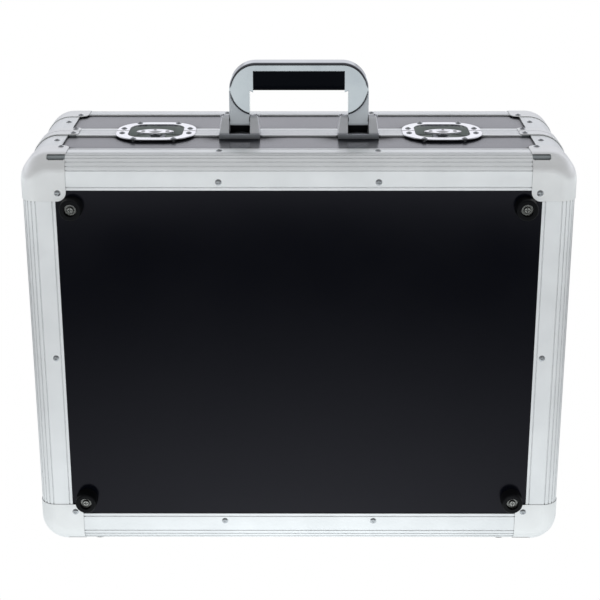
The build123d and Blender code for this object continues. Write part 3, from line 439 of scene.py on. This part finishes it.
# Which finish each kind of piece has: the first words that its name holds decide
finishOfPiece = (
    ("foam", "foam"),
    ("frame_top", "alongX"),
    ("frame_bottom", "alongX"),
    ("frame_", "alongZ"),
    ("closing_profiles", "alongX"),
    ("corner_mouldings", "alongY"),
    ("closing_corners", "plate"),
    ("caps", "plate"),
    ("rivets", "rivetSteel"),
    ("foot_screws", "sunkShadedSteel"),
    ("washers", "sunkShadedSteel"),
    ("screws", "rivetSteel"),
    ("panel", "faceLaminate"),
    ("wall", "laminate"),
    ("feet", "rubber"),
    ("grip", "grip"),
    ("bracket", "bracketSatin"),
    ("arm", "satin"),
    ("handle", "chrome"),
    ("hook", "zinc"),
    ("rotor", "zinc"),
    ("dish", "latchPlate"),
    ("wing", "wing"),
    ("", "plate"),
)
for name, piece in cadNodes.items():
    finish = next(kind for words, kind in finishOfPiece if words in name)
    piece.data.materials.clear()
    piece.data.materials.append(finishes[finish])
print("finishes given to the pieces")


# Soft lining: copies of the pads' solids with soft edges (sizes in metres, angles in degrees)
lining = {
    "edge": 0.0022,
    "segments": 3,
    "fill": 0.5,
    "weld": 0.00001,
    "flatAngle": 1,
    "edgeAngle": 40,
    "smoothAngle": 35,
}


def softPad(source, name):
    pad = cadNodes[source].copy()
    pad.data = cadNodes[source].data.copy()
    bpy.context.scene.collection.objects.link(pad)
    pad.name = name
    pad.parent = None
    for key in list(pad.keys()):
        del pad[key]
    bpy.ops.object.select_all(action="DESELECT")
    pad.select_set(True)
    bpy.context.view_layer.objects.active = pad
    bpy.ops.object.mode_set(mode="EDIT")
    bpy.ops.mesh.select_all(action="SELECT")
    bpy.ops.mesh.remove_doubles(threshold=lining["weld"])
    bpy.ops.mesh.dissolve_limited(angle_limit=math.radians(lining["flatAngle"]))
    bpy.ops.mesh.normals_make_consistent(inside=False)
    bpy.ops.object.mode_set(mode="OBJECT")
    soften = pad.modifiers.new("soften", "BEVEL")
    soften.width = lining["edge"]
    soften.segments = lining["segments"]
    soften.limit_method = "ANGLE"
    soften.angle_limit = math.radians(lining["edgeAngle"])
    bpy.ops.object.modifier_apply(modifier=soften.name)
    bpy.ops.object.shade_smooth_by_angle(angle=math.radians(lining["smoothAngle"]))
    return pad


for half in ("base", "lid"):
    for part in ("floor_foam", "wall_foam"):
        pad = softPad(f"{half}_{part}", f"{half}_{part.replace('foam', 'lining')}")
        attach(pad, half)
        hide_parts(f"{half}_{part}")
print("lining made")


# Stop plate across the back of each bracket, between its ears, where the upright arm rests; its
# black also stands in for the shade below the arm, painted shade
stop = {
    "width": 0.0204,
    "thick": 0.0012,
    "fromParting": 0.0030,
    "bottom": 0.0013,
    "top": 0.0090,
    "round": 0.0003,
    "roundSegments": 2,
    "smoothAngle": 35,
    "bracketToParting": 0.002,  # the bracket ends this far in front of the parting
    "footDepth": 0.0012,  # and its foot reaches this far below the top sheet
}


def stopPlate(side):
    low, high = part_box(f"handle_bracket_{side}")
    middle = (low[0] + high[0]) / 2
    parting = high[1] + stop["bracketToParting"]
    sheetTop = low[2] + stop["footDepth"]
    bpy.ops.object.select_all(action="DESELECT")
    bpy.ops.mesh.primitive_cube_add(
        size=1,
        location=(
            middle,
            parting - stop["fromParting"],
            sheetTop + (stop["bottom"] + stop["top"]) / 2,
        ),
        scale=(stop["width"], stop["thick"], stop["top"] - stop["bottom"]),
    )
    made = bpy.context.object
    made.name = f"handle_stop_{side}"
    bpy.ops.object.transform_apply(location=True, rotation=True, scale=True)
    bpy.ops.object.mode_set(mode="EDIT")
    bpy.ops.mesh.select_all(action="SELECT")
    bpy.ops.mesh.bevel(offset=stop["round"], segments=stop["roundSegments"], affect="EDGES")
    bpy.ops.mesh.normals_make_consistent(inside=False)
    bpy.ops.object.mode_set(mode="OBJECT")
    bpy.ops.object.shade_smooth_by_angle(angle=math.radians(stop["smoothAngle"]))
    # black rubber, and so also painted shade between the ears
    made.data.materials.append(finishes["rubber"])
    return made


for side in ("left", "right"):
    plateBehind = stopPlate(side)
    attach(plateBehind, "base")
print("stop plates made")


# Camera at the photograph's place: a long lens, a little above the case
view = {
    "place": (0.0072, -1.4647, 0.7590),
    "down": 19.72,  # degrees
    "turn": 0.0044,  # radians, as is the roll
    "roll": -0.0012,
    "lens": 90.14,
    "sensor": 36,
}
bpy.ops.object.camera_add(location=view["place"])
camera = bpy.context.object
aim = (
    Matrix.Rotation(view["turn"], 4, "Z")
    @ Matrix.Rotation(math.radians(90 - view["down"]), 4, "X")
    @ Matrix.Rotation(view["roll"], 4, "Z")
)
camera.matrix_world = Matrix.Translation(Vector(view["place"])) @ aim
camera.data.lens = view["lens"]
camera.data.sensor_width = view["sensor"]
bpy.context.scene.camera = camera

# Studio: a white table, a white surround and large soft boxes
studio = {
    "tableSize": 6.0,
    "tableColour": (0.86, 0.86, 0.87),
    "tableRoughness": 0.5,
    # how bright the table looks in metal, by the distance from its middle in metres
    "tableShine": (
        (0.10, 1.0),
        (0.24, 0.74),
        (0.42, 0.50),
        (0.60, 0.32),
        (0.90, 0.10),
        (1.10, 0.03),
        (1.37, 0.04),
        (1.48, 0.77),
        (3.0, 0.80),
    ),
    "shineReach": 3,
    "shineLevel": 1.4,
    "shineTint": (0.93, 0.985, 1.0),
    "worldLight": 0.55,
}
lamps = {
    "overhead": {"place": (0.0, 0.3, 1.9), "aim": (0, 0, 0.3), "size": (1.8, 1.2), "power": 7},
    "left": {"place": (-1.9, -1.3, 0.9), "aim": (0, 0, 0.2), "size": (1.0, 1.4), "power": 8},
    "right": {"place": (1.9, -1.3, 0.9), "aim": (0, 0, 0.2), "size": (1.0, 1.4), "power": 8},
    "front": {"place": (0.0, -2.8, 0.5), "aim": (0, 0, 0.2), "size": (1.8, 0.8), "power": 38},
}
for name, lamp in lamps.items():
    bpy.ops.object.light_add(type="AREA", location=lamp["place"])
    light = bpy.context.object
    light.name = name
    light.data.shape = "RECTANGLE"
    light.data.size, light.data.size_y = lamp["size"]
    light.data.energy = lamp["power"]
    way = Vector(lamp["aim"]) - Vector(lamp["place"])
    light.rotation_euler = way.to_track_quat("-Z", "Y").to_euler()
    light.visible_glossy = False  # metal shows the surround instead


def fillRamp(ramp, stops, colour):
    while len(ramp.elements) < len(stops):
        ramp.elements.new(0.5)  # anywhere: the loop below places it
    for element, (position, level) in zip(ramp.elements, stops):
        element.position = position
        element.color = (*[level * c for c in colour], 1)


bpy.ops.mesh.primitive_plane_add(size=studio["tableSize"], location=(0, 0, 0))
table = bpy.context.object
table.name = "table"
# the open lid swings below the table, so the camera and the lamps see through it
table.visible_camera = False
table.visible_shadow = False
material, tree, shader = startMaterial(
    "table_white", studio["tableColour"], 0.0, studio["tableRoughness"]
)
rays = node(tree, "LightPath")
shine = node(tree, "Emission", Strength=studio["shineLevel"])
place = node(tree, "TexCoord")
outward = node(tree, "VectorMath", operation="LENGTH")
tree.links.new(place.outputs["Object"], outward.inputs[0])
shares = node(tree, "ValToRGB")
fillRamp(
    shares.color_ramp,
    [(distance / studio["shineReach"], level) for distance, level in studio["tableShine"]],
    studio["shineTint"],
)
tree.links.new(
    spread(tree, outward.outputs["Value"], 0, 1, 0, studio["shineReach"]),
    shares.inputs["Fac"],
)
tree.links.new(shares.outputs["Color"], shine.inputs["Color"])
forGloss = node(tree, "MixShader")
tree.links.new(rays.outputs["Is Glossy Ray"], forGloss.inputs["Fac"])
tree.links.new(shader.outputs["BSDF"], forGloss.inputs[1])
tree.links.new(shine.outputs["Emission"], forGloss.inputs[2])
tree.links.new(forGloss.outputs["Shader"], tree.nodes["Material Output"].inputs["Surface"])
table.data.materials.append(material)
material.cycles.emission_sampling = "NONE"  # less speckle in the metal

# What metal and laminate reflect, from the horizon up to overhead: white behind, dark in front
surround = {
    "behind": (
        (0.0, 0.6),
        (0.05, 0.5),
        (0.1, 0.92),
        (0.34, 1.0),
        (0.5, 0.54),
        (0.75, 0.24),
        (1.0, 0.14),
    ),
    "before": ((0.0, 0.10), (0.2, 0.05), (0.55, 0.05), (0.75, 0.10), (1.0, 0.14)),
    "turnover": (-0.50, 0.42),
    "tint": (0.97, 0.975, 1.04),
}
world = bpy.data.worlds.new("studio")
bpy.context.scene.world = world
world.use_nodes = True
world.cycles.sampling_method = "NONE"
skyTree = world.node_tree
skyTree.nodes.clear()
skyRays = node(skyTree, "LightPath")
sky = node(skyTree, "TexCoord")
skyParts = node(skyTree, "SeparateXYZ")
skyTree.links.new(sky.outputs["Generated"], skyParts.inputs["Vector"])
heights = {}
for part in ("before", "behind"):
    made = node(skyTree, "ValToRGB")
    fillRamp(made.color_ramp, surround[part], surround["tint"])
    skyTree.links.new(skyParts.outputs["Z"], made.inputs["Fac"])
    heights[part] = made.outputs["Color"]
turned = spread(skyTree, skyParts.outputs["Y"], 0, 1, *surround["turnover"])
shaded = blend(skyTree, turned, heights["before"], heights["behind"])
plain = node(skyTree, "Background", Color=(1, 1, 1, 1), Strength=studio["worldLight"])
shown = node(skyTree, "Background", Color=(1, 1, 1, 1), Strength=1.0)
mirrored = node(skyTree, "Background", Strength=1.0)
skyTree.links.new(shaded, mirrored.inputs["Color"])
first = node(skyTree, "MixShader")
second = node(skyTree, "MixShader")
result = node(skyTree, "OutputWorld")
skyTree.links.new(skyRays.outputs["Is Glossy Ray"], first.inputs["Fac"])
skyTree.links.new(plain.outputs["Background"], first.inputs[1])
skyTree.links.new(mirrored.outputs["Background"], first.inputs[2])
skyTree.links.new(skyRays.outputs["Is Camera Ray"], second.inputs["Fac"])
skyTree.links.new(first.outputs["Shader"], second.inputs[1])
skyTree.links.new(shown.outputs["Background"], second.inputs[2])
skyTree.links.new(second.outputs["Shader"], result.inputs["Surface"])
bpy.context.scene.view_settings.view_transform = "Standard"
print("studio ready")
